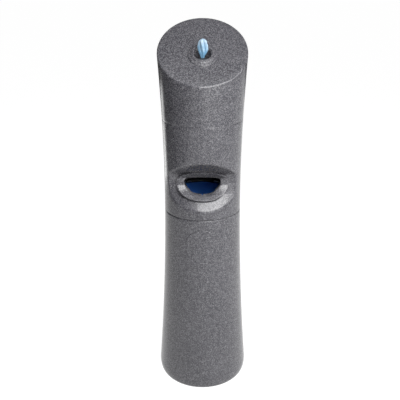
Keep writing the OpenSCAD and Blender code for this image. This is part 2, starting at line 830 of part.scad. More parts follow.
// The wipe: a bundle in the nozzle that opens into a folded leaf and closes again at its tip
module wipe_tail() {
    sides = 28;
    folds = 5;
    rows = 26;
    lean = 1.2;
    wipe_neck_z = nozzle_top_z + 1;
    opening = function (s) s < 0.5 ? pow(sin(180 * s), 1.3) : pow(sin(180 * s), 0.75);
    wipe_neck_r = nozzle_hole_r - soft_gap;
    tip_r = 0.3;
    half_w = function (t) t <= 0 ? wipe_neck_r
        : wipe_neck_r * (1 - t) + (wipe_half_w - wipe_neck_r * 0.5) * opening(t) + tip_r;
    half_t = function (t) t <= 0 ? wipe_neck_r
        : wipe_neck_r * (1 - t) + (wipe_half_t - wipe_neck_r * 0.5) * opening(t) + tip_r;
    fold_depth = function (t) t <= 0 ? 0.12 : 0.12 + 0.14 * opening(t);
    fold = function (a, t) 1 - fold_depth(t) * (1 - sin(folds * a + 140 * t));
    ring = function (t) let (z = wipe_neck_z + (t <= 0 ? t * wipe_below : t * wipe_h))
        [for (i = [0:sides - 1]) let (a = i * 360 / sides)
            [half_w(t) * fold(a, t) * cos(a) + lean * sin(150 * max(t, 0)),
             -outlet_front + half_t(t) * fold(a, t) * sin(a), z]];
    heights = concat([-1, -0.75, -0.5, -0.25], [for (i = [0:rows]) i / rows]);
    points = [for (t = heights) each ring(t)];
    last = (len(heights) - 1) * sides;
    color(wipe_blue)
        polyhedron(points = points, faces = concat(
            [[for (i = [0:sides - 1]) i]],
            [[for (i = [sides - 1:-1:0]) last + i]],
            [for (k = [0:len(heights) - 2], i = [0:sides - 1])
                let (a = k * sides + i, b = k * sides + (i + 1) % sides) [a, a + sides, b]],
            [for (k = [0:len(heights) - 2], i = [0:sides - 1])
                let (a = k * sides + i, b = k * sides + (i + 1) % sides) [b, a + sides, b + sides]]));
}

lower_body();
ballast_weight();
ballast_bolts();
rubber_feet();
waste_bin();
bin_bail();
bail_grip();
head_shell();
mouth_collar();
collar_screws();
tub_cradle();
lock_catch();
catch_rivets();
wipes_tub();
wipes_roll();
tub_cap();
cap_nozzle();
lid_shell();
outlet_nozzle();
nozzle_ring();
lock_barrel();
lock_nut();
key_plug();
lock_cam();
cam_screw();
wipe_tail();
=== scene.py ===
"""Looks for a floor-standing tower that dispenses wipes: granite-effect moulded shells, a bent
collar in the mouth, a stepped outlet with its dark nozzle, and the wipe that stands out of it.

Shapes are worked out in millimetres and scaled to metres when a piece is finished.
+Z is up, the front faces -Y and the origin is the centre of the base on the floor.
"""

import math

import bmesh
import bpy
from mathutils import Matrix, Vector, noise


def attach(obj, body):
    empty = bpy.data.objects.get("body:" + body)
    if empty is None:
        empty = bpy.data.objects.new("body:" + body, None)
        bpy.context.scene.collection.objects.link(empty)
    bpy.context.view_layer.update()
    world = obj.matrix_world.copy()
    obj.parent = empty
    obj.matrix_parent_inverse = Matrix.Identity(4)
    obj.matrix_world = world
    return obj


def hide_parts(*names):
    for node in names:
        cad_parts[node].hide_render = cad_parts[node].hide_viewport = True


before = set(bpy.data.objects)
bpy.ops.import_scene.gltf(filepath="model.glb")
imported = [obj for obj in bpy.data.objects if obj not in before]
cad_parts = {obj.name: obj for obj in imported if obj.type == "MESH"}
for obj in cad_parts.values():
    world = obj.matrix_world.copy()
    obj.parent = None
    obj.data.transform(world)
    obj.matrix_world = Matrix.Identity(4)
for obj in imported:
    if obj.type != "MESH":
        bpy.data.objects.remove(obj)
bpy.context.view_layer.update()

# ---- Sizes of the moulded shells, in millimetres ----------------------------------------

FOOT_Z, FLOOR_Z, FOOT_TOP_Z = 3.0, 7.0, 28.0
WAIST_SEAM_Z, LID_SEAM_Z, TOP_Z = 524.0, 775.0, 1020.0
SPIGOT_Z, NECK_Z = 541.0, 809.0
WALL, SEAT_GAP = 4.0, 0.5
BASE_R, WAIST_R, RIM_R, WAIST_Z = 129.7, 103.8, 121.2, 600.0
FOOT_ROUND_IN = 5.0
FEET_CIRCLE_R, BOLT_CIRCLE_R, FOOT_HOLE_R = 104.0, 60.0, 4.1
TOP_SLOPE_DEG = 32.1
TOP_SLOPE = math.tan(math.radians(TOP_SLOPE_DEG))
RIM_Z = TOP_Z - TOP_SLOPE * RIM_R

CREASE_Z, NICHE_BACK, NICHE_BACK_H = 609.0, 54.0, 29.0
CEILING_SLOPE = math.radians(39.4)
CHIN_SLOPE = math.radians(50.2)
# The chin is crowned to this radius, out to this far from the middle
CHIN_CROWN_R, CHIN_CROWN_W = 200.0, 72.0
MOUTH_Z = 618.0
MOUTH_HALF_W, MOUTH_UP, MOUTH_DOWN = 48.0, 10.4, 29.0
MOUTH_UP_POWER, MOUTH_DOWN_POWER = 3.6, 2.1
COLLAR_HALF_W, COLLAR_UP, COLLAR_DOWN, COLLAR_POWER = 70.0, 27.0, 43.4, 2.3
COLLAR_T, COLLAR_W = 8.0, 19.0
SLEEVE_T, SLEEVE_IN = 3.0, 11.0
CHIN_SCREW_X, SIDE_SCREW_X, SCREW_HOLE_R = 34.0, 60.5, 1.7

FIELD_R, FIELD_Z, FIELD_W, FIELD_D = 49.0, 450.0, 3.0, 0.8

OUTLET_FRONT = 12.0
OUTLET_R = 21.0
# Radius and height of the outlet collar's corners over the lid's top, from its foot inwards
OUTLET_STEPS = (
    (37.2, 0), (37.0, 1.5), (34.0, 3.6), (31.0, 3.7), (30.8, 4.6), (27.6, 6.8), (25.0, 6.9),
    (21.4, 3.6),
)
OUTLET_TUBE_R, OUTLET_TUBE_H = 24.5, 31.5
OUTLET_Z = RIM_Z - TOP_SLOPE * OUTLET_FRONT

LID_EDGE_H = 9.0
LOCK_Z, LOCK_GAP_HALF_W, LOCK_PAD_R, BARREL_HOLE_R = 792.0, 16.0, 13.5, 9.6


def outside_r(z):
    """Radius of the outside shape at height z."""
    if z < WAIST_Z:
        down = max((WAIST_Z - z) / (WAIST_Z - FOOT_TOP_Z), 0)
        return WAIST_R + (BASE_R - WAIST_R) * down ** 1.8
    return WAIST_R + (RIM_R - WAIST_R) * ((z - WAIST_Z) / (TOP_Z - WAIST_Z)) ** 2


SPIGOT_R = outside_r(WAIST_SEAM_Z) - WALL - SEAT_GAP
NECK_R = outside_r(LID_SEAM_Z) - WALL - SEAT_GAP


def heights(start, end, step):
    """Evenly spaced heights from start to end, neither of which is left out."""
    count = max(1, math.ceil(abs(end - start) / step))
    return [start + (end - start) * i / count for i in range(count + 1)]


def skin(levels, inset=0.0):
    """Points of the outside shape at these heights, drawn in by inset."""
    return [(outside_r(z) - inset, z) for z in levels]


def smooth_max(a, b, blend):
    """The greater of two values, with a rounded change from one to the other."""
    near = max(blend - abs(a - b), 0) / blend
    return max(a, b) + near * near * blend / 4


def between(points, x):
    """The value at x on straight lines through points of (x, value)."""
    for (x0, a), (x1, b) in zip(points, points[1:]):
        if x <= x1:
            return a + (b - a) * (x - x0) / (x1 - x0)
    return points[-1][1]


def ease(x):
    """0 below 0, 1 above 1 and a smooth step between."""
    x = min(max(x, 0.0), 1.0)
    return x * x * (3 - 2 * x)


# ---- Modelling --------------------------------------------------------------------------


def turned(profile, arcs=((360, 96),), start=0.0, rounds=()):
    """A closed profile of (radius, height) points turned about Z in arcs of (degrees, steps).

    rounds are corners of the profile to round: (point's index, radius, segments).
    """
    bm = bmesh.new()
    a = math.radians(start)
    ring = [bm.verts.new((r * math.sin(a), -r * math.cos(a), z)) for r, z in profile]
    edges = [bm.edges.new((ring[i - 1], ring[i])) for i in range(len(ring))]
    geom = ring + edges
    whole = len(arcs) == 1
    for degrees, steps in arcs:
        spun = bmesh.ops.spin(
            bm, geom=geom, axis=(0, 0, 1), cent=(0, 0, 0), angle=math.radians(degrees),
            steps=steps, use_merge=whole,
        )
        geom = spun["geom_last"]
    bmesh.ops.remove_doubles(bm, verts=bm.verts, dist=0.001)
    bmesh.ops.recalc_face_normals(bm, faces=bm.faces)
    for index, radius, segments in rounds:
        r, z = profile[index]
        corner = [
            e for e in bm.edges if all(
                abs(math.hypot(v.co.x, v.co.y) - r) < 0.01 and abs(v.co.z - z) < 0.01
                for v in e.verts)
        ]
        bmesh.ops.bevel(
            bm, geom=corner, offset=radius, offset_type="OFFSET", affect="EDGES",
            segments=segments, profile=0.5, material=-1, clamp_overlap=True,
        )
    return bm


def rod(radius, y0, y1, z=0.0, sides=48, round_by=0.0):
    """A cylinder along Y from y0 to y1, at height z."""
    bm = bmesh.new()
    bmesh.ops.create_cone(
        bm, cap_ends=True, segments=sides, radius1=radius, radius2=radius, depth=y1 - y0,
        matrix=Matrix.Translation((0, (y0 + y1) / 2, z)) @ Matrix.Rotation(math.pi / 2, 4, "X"),
    )
    if round_by:
        rims = [e for e in bm.edges if abs(e.verts[0].co.y - e.verts[1].co.y) < 0.001]
        bmesh.ops.bevel(
            bm, geom=rims, offset=round_by, offset_type="OFFSET", affect="EDGES", segments=3,
            profile=0.5, material=-1,
        )
    return bm


def block(low, high):
    """A box between two corners."""
    bm = bmesh.new()
    size = [high[i] - low[i] for i in range(3)]
    middle = [(high[i] + low[i]) / 2 for i in range(3)]
    place = Matrix.Translation(middle) @ Matrix.Diagonal((*size, 1))
    bmesh.ops.create_cube(bm, size=1, matrix=place)
    return bm


def joined(*parts):
    """One mesh of several that stand apart."""
    whole = bmesh.new()
    for part in parts:
        mesh = bpy.data.meshes.new("part")
        part.to_mesh(mesh)
        whole.from_mesh(mesh)
        part.free()
        bpy.data.meshes.remove(mesh)
    return whole


def as_object(name, bm):
    """An object in the scene that holds the mesh, which is used up."""
    mesh = bpy.data.meshes.new(name)
    bm.to_mesh(mesh)
    bm.free()
    made = bpy.data.objects.new(name, mesh)
    bpy.context.scene.collection.objects.link(made)
    return made


def cut(bm, tool, operation="DIFFERENCE"):
    """The mesh after a boolean with the tool."""
    work, knife = as_object("work", bm), as_object("knife", tool)
    step = work.modifiers.new("cut", "BOOLEAN")
    step.operation, step.object, step.solver = operation, knife, "EXACT"
    made = bmesh.new()
    made.from_object(work, bpy.context.evaluated_depsgraph_get())
    for done in (work, knife):
        mesh = done.data
        bpy.data.objects.remove(done)
        bpy.data.meshes.remove(mesh)
    bmesh.ops.remove_doubles(made, verts=made.verts, dist=0.0005)
    return made


def piece(name, bm, body, finish, replaced, sharp=32):
    """Turns a mesh in millimetres into a finished piece that rides on a body."""
    bmesh.ops.scale(bm, vec=(0.001, 0.001, 0.001), verts=bm.verts)
    made = as_object(name, bm)
    made.data.shade_smooth()
    made.data.set_sharp_from_angle(angle=math.radians(sharp))
    made.data.materials.append(finish)
    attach(made, body)
    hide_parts(*replaced)
    return made


# ---- Finishes ---------------------------------------------------------------------------


class Value:
    """A socket in a finish's nodes, with arithmetic that adds the Math nodes it needs."""

    def __init__(self, finish, socket):
        self.finish, self.socket = finish, socket

    def maths(self, operation, other):
        return self.finish.node("ShaderNodeMath", {"operation": operation}, {0: self, 1: other})

    def __add__(self, other):
        return self.maths("ADD", other)

    def __mul__(self, other):
        return self.maths("MULTIPLY", other)

    def __gt__(self, other):
        return self.maths("GREATER_THAN", other)


class Finish:
    """A material of nodes round one shader. The constants are set on the shader's own sockets."""

    def __init__(self, name, **constants):
        self.material = bpy.data.materials.new(name)
        self.material.use_nodes = True
        self.tree = self.material.node_tree
        self.shader = self.tree.nodes["Principled BSDF"]
        for socket, value in constants.items():
            self.shader.inputs[socket.replace("_", " ")].default_value = value
        self.place = self.node("ShaderNodeTexCoord", {}, {}, "Object")

    def node(self, kind, settings, values, output=0):
        """Adds a node: its settings first, then its sockets' values or links."""
        made = self.tree.nodes.new(kind)
        for name, value in settings.items():
            setattr(made, name, value)
        for key, value in values.items():
            if isinstance(value, Value):
                self.tree.links.new(value.socket, made.inputs[key])
            else:
                made.inputs[key].default_value = value
        return Value(self, made.outputs[output])

    def noise(self, scale, detail=2.0, roughness=0.5, place=None, output="Fac"):
        return self.node(
            "ShaderNodeTexNoise", {},
            {"Vector": place or self.place, "Scale": scale, "Detail": detail,
             "Roughness": roughness},
            output,
        )

    def cells(self, scale, output="Color", place=None):
        return self.node(
            "ShaderNodeTexVoronoi", {"feature": "F1"},
            {"Vector": place or self.place, "Scale": scale}, output,
        )

    def level(self, factor, low, high, start=0.0, end=1.0):
        """Rescales a factor from low..high to start..end."""
        return self.node(
            "ShaderNodeMapRange", {"clamp": True},
            {"Value": factor, "From Min": low, "From Max": high, "To Min": start, "To Max": end},
        )

    def mix(self, factor, a, b, blend="MIX"):
        return self.node(
            "ShaderNodeMix", {"data_type": "RGBA", "blend_type": blend, "clamp_factor": True},
            {0: factor, 6: a, 7: b}, 2,
        )

    def part(self, colour, channel):
        return self.node("ShaderNodeSeparateColor", {}, {"Color": colour}, channel)

    def bump(self, height, distance, strength=1.0, over=None):
        values = {"Height": height, "Distance": distance, "Strength": strength}
        if over:
            values["Normal"] = over
        return self.node("ShaderNodeBump", {}, values, "Normal")

    def wear(self, **links):
        """Feeds the shader's sockets."""
        for socket, value in links.items():
            self.tree.links.new(value.socket, self.shader.inputs[socket.replace("_", " ")])
        return self.material


def rgb(r, g, b):
    return (r, g, b, 1.0)


def granite():
    """Moulded plastic with light and dark flecks all through it and a little orange peel."""
    f = Finish("granite_plastic", Specular_IOR_Level=0.5, Coat_Roughness=0.18)
    warp = f.noise(260, 2.0, output="Color")
    place = f.node("ShaderNodeMix", {"data_type": "VECTOR"}, {0: 0.0015, 4: f.place, 5: warp}, 1)
    fine = f.part(f.cells(760, place=place), "Red")
    coarse = f.part(f.cells(430, place=place), "Green")
    clumps = f.noise(120, 3.0, 0.6)
    cloud = f.noise(9, 2.0)
    light = (fine + clumps * 0.5) > 1.02
    pale = (coarse + clumps * 0.4) > 1.06
    dark = (f.part(f.cells(620, place=place), "Blue") + clumps * 0.35) > 0.98
    ground = f.mix(
        f.level(cloud, 0.35, 0.65), rgb(0.043, 0.0425, 0.0495), rgb(0.053, 0.0522, 0.060))
    grain = f.mix(
        f.level(f.noise(900, 3.0, 0.7), 0.3, 0.7), rgb(0.76, 0.76, 0.76), rgb(1.25, 1.25, 1.25))
    ground = f.mix(1.0, ground, grain, "MULTIPLY")
    with_dark = f.mix(dark * 0.8, ground, rgb(0.022, 0.0215, 0.025))
    with_pale = f.mix(pale * 0.6, with_dark, rgb(0.118, 0.116, 0.126))
    colour = f.mix(light * 0.8, with_pale, rgb(0.160, 0.158, 0.168))
    rough = f.level(f.noise(55, 3.0), 0.3, 0.7, 0.18, 0.25) + light * 0.03
    peel = f.noise(160, 2.0, 0.4)
    pores = f.noise(1400, 2.0, 0.6)
    normal = f.bump(pores, 0.000015, 0.4, f.bump(peel, 0.00008, 0.4))
    return f.wear(Base_Color=colour, Roughness=rough, Normal=normal)


def moulded(name, colour, rough, spread=0.12, grain=500):
    """Plain moulded plastic with a fine grain and slight clouding."""
    f = Finish(name)
    dim, bright = [rgb(*[c * k for c in colour]) for k in (1 - spread, 1 + spread)]
    cloud = f.noise(14, 3.0)
    shade = f.mix(f.level(cloud, 0.3, 0.7), dim, bright)
    roughness = f.level(f.noise(80, 3.0), 0.3, 0.7, rough - 0.05, rough + 0.06)
    normal = f.bump(f.noise(grain, 2.0), 0.00005, 0.5)
    return f.wear(Base_Color=shade, Roughness=roughness, Normal=normal)


def metal(name, colour, rough):
    """Plated steel or chrome, with faint drawing marks and handling."""
    f = Finish(name, Metallic=1.0)
    stretched = f.node("ShaderNodeMapping", {}, {"Vector": f.place, "Scale": (1.0, 1.0, 30.0)})
    marks = f.noise(120, 3.0, 0.6, place=stretched)
    shade = f.mix(f.level(marks, 0.3, 0.7), rgb(*[c * 0.86 for c in colour]), rgb(*colour))
    roughness = f.level(f.noise(60, 3.0), 0.3, 0.7, rough * 0.8, rough * 1.3)
    normal = f.bump(marks, 0.00002, 0.4)
    return f.wear(Base_Color=shade, Roughness=roughness, Normal=normal)


def cast_iron():
    """Dark, rough iron."""
    f = Finish("ballast_iron", Metallic=0.6)
    stain = f.level(f.noise(60, 5.0, 0.7), 0.35, 0.65)
    shade = f.mix(stain, rgb(0.03, 0.03, 0.032), rgb(0.10, 0.10, 0.10))
    normal = f.bump(f.noise(300, 4.0, 0.7), 0.0003, 0.6)
    roughness = f.level(f.noise(40, 2.0), 0.3, 0.7, 0.5, 0.7)
    return f.wear(Base_Color=shade, Roughness=roughness, Normal=normal)


def wet_cloth(name, colour, tint_z=None):
    """Damp nonwoven: tangled fibres and embossed dots.

    Given a height in mm it is darker and bluer below it; painted highlights pale its top and
    ridges.
    """
    f = Finish(name, Specular_IOR_Level=0.4)
    fibres = f.noise(1500, 4.0, 0.8)
    tangle = f.noise(500, 3.0, 0.6)
    dots = f.level(f.cells(700, "Distance"), 0.15, 0.45)
    shade = f.mix(f.level(fibres, 0.3, 0.7), rgb(*[c * 0.86 for c in colour]), rgb(*colour))
    damp_and_low_tint = f.level(f.noise(110, 2.0), 0.4, 0.65)
    if tint_z:
        height = f.node("ShaderNodeSeparateXYZ", {}, {"Vector": f.place}, "Z")
        # Darker and bluer at and below the given height, fading out 34 mm above it
        damp_and_low_tint = damp_and_low_tint * 0.5 + f.level(height, tint_z / 1000, (tint_z + 34) / 1000, 1.0, 0.0)
        # Painted highlight: the folds' edges and the wipe's top are made paler, as if lit
        ridge_highlight = f.node("ShaderNodeAttribute", {"attribute_name": "ridge_highlight_mask"}, {}, "Fac")
        top_highlight = f.level(height, (tint_z + 28) / 1000, (tint_z + 44) / 1000)
        shade = f.mix(ridge_highlight * 0.7 + top_highlight * 0.5, shade, rgb(0.33, 0.43, 0.51))
    # Colour of the random damp patches, also used for the darker, bluer lower part
    damp_and_low_colour = rgb(*[c * k for c, k in zip(colour, (0.42, 0.80, 1.0))])
    shade = f.mix(damp_and_low_tint * 0.7, shade, damp_and_low_colour)
    roughness = f.level(f.noise(200, 2.0), 0.3, 0.7, 0.32, 0.5)
    normal = f.bump(dots, 0.00012, 0.5, f.bump(tangle + fibres * 0.5, 0.00025, 0.6))
    return f.wear(Base_Color=shade, Roughness=roughness, Normal=normal)


GRANITE = granite()
BIN_BLUE = moulded("bin_blue_plastic", (0.030, 0.150, 0.54), 0.33)
BLACK = moulded("black_plastic", (0.024, 0.024, 0.026), 0.42, 0.2)
WHITE = moulded("tub_white_plastic", (0.78, 0.79, 0.80), 0.35, 0.03)
CRADLE = moulded("cradle_grey_plastic", (0.50, 0.51, 0.52), 0.42, 0.05)
RUBBER = moulded("foot_rubber", (0.022, 0.022, 0.023), 0.7, 0.15, 300)
IRON = cast_iron()
ZINC = metal("zinc_steel", (0.62, 0.63, 0.64), 0.32)
CHROME = metal("lock_chrome", (0.80, 0.80, 0.80), 0.14)
WIPE = wet_cloth("wipe_cloth", (0.19, 0.275, 0.36), OUTLET_Z - 3)
ROLL = wet_cloth("roll_cloth", (0.78, 0.88, 0.93))

# ---- Lower body -------------------------------------------------------------------------


def lower_body():
    """The lower shell with its spigot, the round field's groove and the holes in its floor."""
    foot = [
        (BASE_R - FOOT_ROUND_IN * (1 - math.sin(a)), FOOT_TOP_Z - 25 * math.cos(a))
        for a in [math.radians(7.5 * i) for i in range(12)]
    ]
    low, high = FIELD_Z - FIELD_R - 5, FIELD_Z + FIELD_R + 5
    levels = heights(FOOT_TOP_Z, low, 12)[:-1] + heights(low, high, 0.75)
    levels += heights(high, WAIST_SEAM_Z, 6)[1:]
    outside = skin(levels)
    shoulder = [(SPIGOT_R, WAIST_SEAM_Z), (SPIGOT_R, SPIGOT_Z), (SPIGOT_R - WALL, SPIGOT_Z)]
    shoulder.append((SPIGOT_R - WALL, WAIST_SEAM_Z - WALL))
    inside = skin(heights(WAIST_SEAM_Z - 3 * WALL, FOOT_TOP_Z, 14), WALL)
    floor = [(BASE_R - FOOT_ROUND_IN - WALL, FLOOR_Z), (0, FLOOR_Z), (0, FOOT_Z)]
    profile = foot + outside + shoulder + inside + floor
    rim = len(foot) + len(outside) - 1
    rounds = ((0, 1.5, 2), (rim, 3.0, 6), (rim + 2, 1.5, 3), (rim + 3, 1.0, 2))
    bm = turned(profile, ((64, 160), (296, 104)), -32, rounds)
    for v in bm.verts:
        away = math.hypot(v.co.x, v.co.z - FIELD_Z) - (FIELD_R - FIELD_W / 2)
        if v.co.y < -90 and abs(away) < FIELD_W / 2 + 0.3:
            depth = FIELD_D * ease(1.6 - abs(away) / (FIELD_W / 2) * 1.6)
            side = Vector((v.co.x, v.co.y, 0))
            v.co -= side.normalized() * depth
    drills = []
    for count, circle_r, first in ((4, FEET_CIRCLE_R, 45), (3, BOLT_CIRCLE_R, 90)):
        for i in range(count):
            a = math.radians(first + 360 // count * i)
            drill = bmesh.new()
            bmesh.ops.create_cone(
                drill, cap_ends=True, segments=32, radius1=FOOT_HOLE_R, radius2=FOOT_HOLE_R,
                depth=10,
                matrix=Matrix.Translation((circle_r * math.cos(a), circle_r * math.sin(a), 5)),
            )
            drills.append(drill)
    return cut(bm, joined(*drills))


piece("lower_body_moulding", lower_body(), "base", GRANITE, ["lower_body"])

# ---- Head -------------------------------------------------------------------------------


def niche_y(x, z, depth=0.0, soft=0.0, ceiling=True):
    """How far forward the niche's faces stand at x and height z, set back by depth."""
    back = -NICHE_BACK + depth
    chin = -NICHE_BACK - (CREASE_Z - depth / math.cos(CHIN_SLOPE) - z) / math.tan(CHIN_SLOPE)
    side = min(abs(x), CHIN_CROWN_W)
    crown = side * (abs(x) - side / 2) / CHIN_CROWN_R
    share = 1.0 if depth == 0 else 0.3 if depth < 0 else ease((abs(x) - 38) / 20)
    chin += crown * share * min(max((CREASE_Z - z) / 25, 0), 1)
    over = CREASE_Z + NICHE_BACK_H + depth / math.cos(CEILING_SLOPE)
    roof = -NICHE_BACK - (z - over) / math.tan(CEILING_SLOPE)
    y = -smooth_max(-back, -chin, soft) if soft else min(back, chin)
    if not ceiling:
        return y
    return -smooth_max(-y, -roof, soft) if soft else min(y, roof)


def superellipse(angle, half_w, up, down, up_power, down_power):
    """A point of an outline with its own reach and squareness above and below the middle."""
    c, s = math.cos(angle), math.sin(angle)
    power = up_power if s > 0 else down_power
    reach = up if s > 0 else down
    x = half_w * math.copysign(abs(c) ** (2 / power), c)
    return x, reach * math.copysign(abs(s) ** (2 / power), s)


def mouth_outline(angle, grow=0.0):
    """A point of the mouth's outline, from the mouth's middle."""
    return superellipse(
        angle, MOUTH_HALF_W + grow, MOUTH_UP + grow, MOUTH_DOWN + grow, MOUTH_UP_POWER,
        MOUTH_DOWN_POWER)


def collar_outline(angle):
    """A point of the collar's outer outline, from the mouth's middle."""
    return superellipse(
        angle, COLLAR_HALF_W, COLLAR_UP, COLLAR_DOWN, COLLAR_POWER, COLLAR_POWER)


def bore_drop(x, z):
    """How steeply the mouth's bore runs down inwards below the crease."""
    across = math.sqrt(max(1 - (x / 34) ** 2, 0))
    return 0.45 * ease((CREASE_Z - 2 - z) / 9) * across


def mouth_prism(grow):
    """The mouth's outline, drawn through the wall of the head."""
    bm = bmesh.new()
    sides = 96
    ends = []
    for reach in (-5, 26):
        ring = []
        for i in range(sides):
            x, up = mouth_outline(2 * math.pi * i / sides, grow)
            z = MOUTH_Z + up
            front = niche_y(x, z, -COLLAR_T, 5.0, False)
            ring.append(bm.verts.new((x, front + reach, z - bore_drop(x, z) * reach)))
        ends.append(bm.faces.new(ring))
    bmesh.ops.bridge_loops(bm, edges=[e for face in ends for e in face.edges])
    bmesh.ops.recalc_face_normals(bm, faces=bm.faces)
    return bm


def collar_screw_places():
    """Middle of each screw's head side on the head's inner face, and its direction."""
    sleeve, collar = [
        down * (1 - (CHIN_SCREW_X / half_w) ** power) ** (1 / power) for half_w, down, power in (
            (MOUTH_HALF_W + SLEEVE_T, MOUTH_DOWN + SLEEVE_T, MOUTH_DOWN_POWER),
            (COLLAR_HALF_W, COLLAR_DOWN, COLLAR_POWER))
    ]
    below_crease = (sleeve + collar) / 2 - (MOUTH_Z - CREASE_Z)
    chin_y = -NICHE_BACK - below_crease / math.tan(CHIN_SLOPE)
    chin_z = CREASE_Z - math.tan(CHIN_SLOPE) * (-NICHE_BACK - chin_y)
    out = Vector((0, -math.sin(CHIN_SLOPE), math.cos(CHIN_SLOPE)))
    for side in (-1, 1):
        yield Vector((side * SIDE_SCREW_X, -NICHE_BACK + WALL, MOUTH_Z)), Vector((0, -1, 0))
        yield Vector((side * CHIN_SCREW_X, chin_y, chin_z)) - out * WALL, out


def drill_at(place, out, depth, back=1.0):
    """A screw's hole to be cut, from back behind a place to depth in front of it."""
    drill = bmesh.new()
    turn = out.to_track_quat("Z", "Y").to_matrix().to_4x4()
    middle = place + out * ((depth - back) / 2)
    bmesh.ops.create_cone(
        drill, cap_ends=True, segments=24, radius1=SCREW_HOLE_R, radius2=SCREW_HOLE_R,
        depth=depth + back, matrix=Matrix.Translation(middle) @ turn,
    )
    return drill


def head_shell():
    """The head with its neck, the niche pressed into its front and the mouth cut through."""
    shadow_z, rebate_d = WAIST_SEAM_Z + 1.4, 2.6
    low, high, inner_low, inner_high = 543, 688, 536, 690
    rows = heights(shadow_z, low, 6)[:-1] + heights(low, high, 1.6)
    outside = skin(rows + heights(high, LID_SEAM_Z, 9)[1:])
    neck = [
        (NECK_R, LID_SEAM_Z), (NECK_R, NECK_Z), (NECK_R - WALL, NECK_Z),
        (NECK_R - WALL, LID_SEAM_Z - WALL),
    ]
    rows = heights(LID_SEAM_Z - 2 * WALL, inner_high, 12)[:-1] + heights(inner_high, inner_low, 2.2)
    inside = skin(rows + [WAIST_SEAM_Z], WALL)
    rebate = [(outside_r(z) - rebate_d, z) for z in (WAIST_SEAM_Z, shadow_z)]
    profile = outside + neck + inside + rebate
    seam = len(outside) - 1
    rounds = ((0, 0.8, 3), (seam, 0.8, 3), (seam + 2, 1.5, 3), (seam + 3, 1.0, 2))
    bm = turned(profile, ((186, 170), (174, 48)), -93, rounds)
    for v in bm.verts:
        r = math.hypot(v.co.x, v.co.y)
        if v.co.y > -20 or not 530 < v.co.z < 700:
            continue
        inner = r < outside_r(v.co.z) - WALL / 2
        face = niche_y(v.co.x, v.co.z, WALL if inner else 0.0, 5.0)
        v.co.y = smooth_max(v.co.y, face, 4.0)
    lock_gap = block((-LOCK_GAP_HALF_W, 60, LID_SEAM_Z + 1), (LOCK_GAP_HALF_W, 130, NECK_Z + 20))
    tools = [mouth_prism(SLEEVE_T + 0.1), lock_gap]
    for place, out in collar_screw_places():
        tools.append(drill_at(place, out, 6))
    for turn in (13, 18):
        a = math.radians(turn)
        out = Vector((math.sin(a), math.cos(a), 0))
        place = out * (NECK_R - WALL) + Vector((0, 0, LOCK_Z + 6.6 - 12))
        tools.append(drill_at(place, out, 6, 2.0))
    return cut(bm, joined(*tools))


piece("head_moulding", head_shell(), "head", GRANITE, ["head_shell"])


def mouth_collar():
    """A ring of plain section, turned flat, laid on the two outlines and bent over the crease."""
    section = [
        (0, -SLEEVE_IN), (0, COLLAR_T), (5, COLLAR_T), (9.5, COLLAR_T), (14, COLLAR_T),
        (COLLAR_W, COLLAR_T), (COLLAR_W, COLLAR_T / 2), (COLLAR_W, 0), (12, 0), (6, 0),
        (SLEEVE_T, 0), (SLEEVE_T, -6), (SLEEVE_T, -SLEEVE_IN),
    ]
    inner_r = 30.0
    bm = turned(
        [(inner_r + u, d) for u, d in section], ((360, 168),), 0, ((1, 2.5, 5), (5, 2.5, 5)))
    for v in bm.verts:
        u = math.hypot(v.co.x, v.co.y) - inner_r
        angle = math.atan2(v.co.y, v.co.x)
        proud = v.co.z
        inner = mouth_outline(angle)
        if proud < -0.5:
            x, up = mouth_outline(angle, u)
        else:
            sleeve, outer = mouth_outline(angle, SLEEVE_T), collar_outline(angle)
            if u <= SLEEVE_T:
                x, up = [inner[i] + (sleeve[i] - inner[i]) * u / SLEEVE_T for i in (0, 1)]
            else:
                t = (u - SLEEVE_T) / (COLLAR_W - SLEEVE_T)
                x, up = [sleeve[i] + (outer[i] - sleeve[i]) * t for i in (0, 1)]
        z = MOUTH_Z + up
        front = niche_y(x, z, -COLLAR_T, 5.0, False)
        if proud < 0:
            back = niche_y(x, z, 0, 5.0, False)
            y = back + (niche_y(x, z, 7.0, 4.0, False) - back) * -proud / SLEEVE_IN
        else:
            # The lower half is dished and leans back; the upper half comes forward as a hood
            lip = ease((math.sin(angle) - 0.2) / 0.45)
            back = niche_y(x, z, 0.0, 5.0)
            low = ease(-1.4 * math.sin(angle))
            dish = 2.6 * low * (1 - u / COLLAR_W) * ease(proud / COLLAR_T)
            lean_back = 1 - 0.4 * min(max((z - (CREASE_Z - 35)) / 35, 0), 1)
            y = back + min(front - back, 0.0) * (proud - dish) * lean_back / COLLAR_T
            hood = -NICHE_BACK - (14 * u / COLLAR_W - 1) * proud / COLLAR_T
            y += (hood - y) * lip
        if u <= SLEEVE_T:
            z -= bore_drop(x, z) * (y - front)
        v.co = (x, y, z)
    bmesh.ops.recalc_face_normals(bm, faces=bm.faces)
    tools = [drill_at(place, out, WALL + 2.4) for place, out in collar_screw_places()]
    return cut(bm, joined(*tools))


piece("mouth_collar_ring", mouth_collar(), "head", GRANITE, ["mouth_collar"])


def collar_screws():
    """Pan-head screws with crossed recesses, driven into the ring from inside the head."""
    shank, head = 1.5, 3.2
    profile = [
        (0, 6.0), (0.6, 6.0), (shank, 4.8), (shank, 0), (head, 0), (head, -0.9),
        (head - 0.5, -1.7), (head - 1.3, -2.2), (0, -2.4),
    ]
    screws = []
    for place, out in collar_screw_places():
        screw = turned(profile, ((360, 32),), 0, ((4, 0.2, 2),))
        for x, y in ((1.7, 0.35), (0.35, 1.7)):
            screw = cut(screw, block((-x, -y, -4), (x, y, -1.2)))
        turn = out.to_track_quat("Z", "Y").to_matrix().to_4x4()
        bmesh.ops.transform(screw, matrix=Matrix.Translation(place) @ turn, verts=screw.verts)
        screws.append(screw)
    return joined(*screws)


piece("collar_screw_set", collar_screws(), "head", ZINC, ["collar_screws"])

# ---- Lid --------------------------------------------------------------------------------


